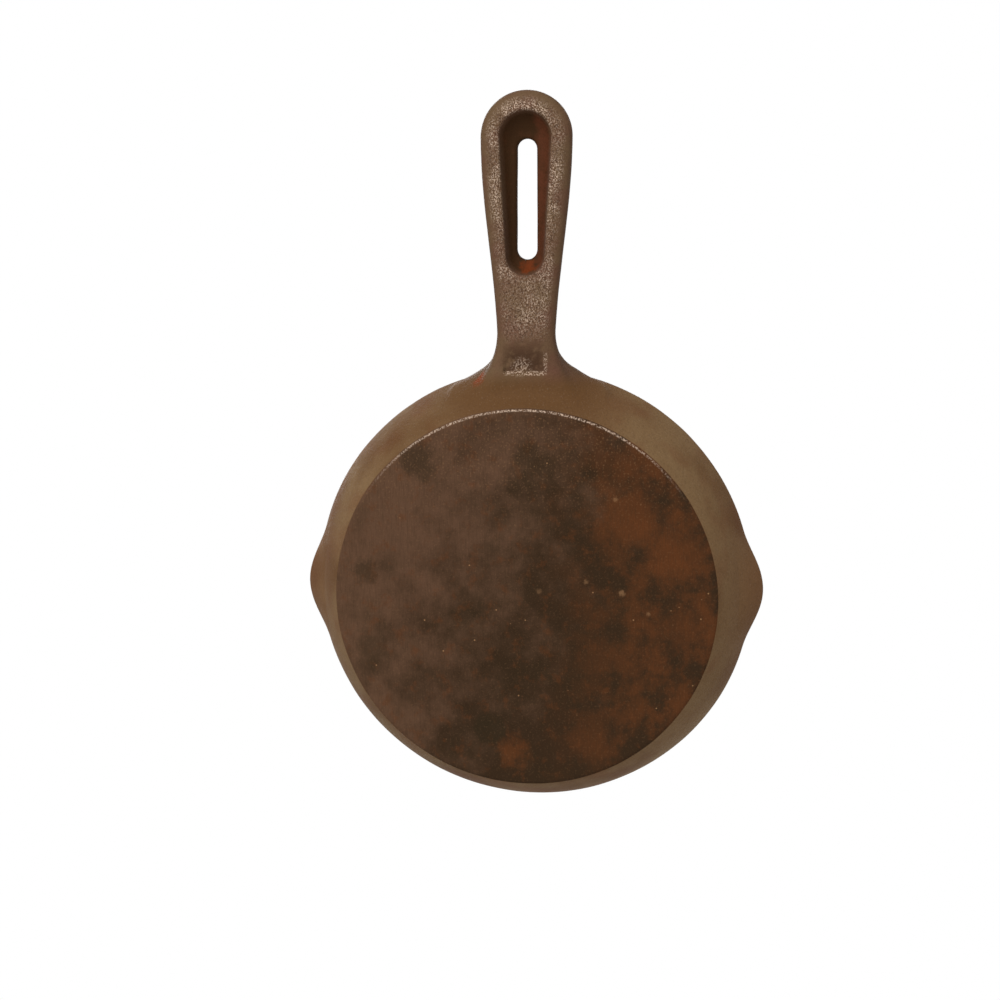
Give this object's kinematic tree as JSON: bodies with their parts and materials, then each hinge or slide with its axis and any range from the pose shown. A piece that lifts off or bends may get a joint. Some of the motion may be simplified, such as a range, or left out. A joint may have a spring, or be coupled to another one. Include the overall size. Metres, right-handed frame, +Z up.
{
  "type": "cast iron egg skillet",
  "caption": "Small round cast iron skillet with flared walls, a pouring lip on each side and a slotted handle that also hangs it up.",
  "frame": {"origin": "middle of the flat underside of the pan", "axes": "+X out along the handle, +Y towards the pouring lip on the cook's right, +Z up out of the pan"},
  "size_m": [0.2458, 0.1608, 0.0249],
  "materials": {
    "ground_base_iron": "dark brown iron, ground flat, with rust and dark burnt patches",
    "cast_wall_iron": "smooth olive brown iron with a thin film of rust",
    "worn_handle_iron": "pebbled iron, worn brighter on its crests"
  },
  "bodies": {
    "root": {"pan_floor": "ground_base_iron", "front_wall": "cast_wall_iron", "rear_wall": "cast_wall_iron", "left_pour_spout": "cast_wall_iron", "right_pour_spout": "cast_wall_iron", "handle": "worn_handle_iron"}
  },
  "joints": []
}
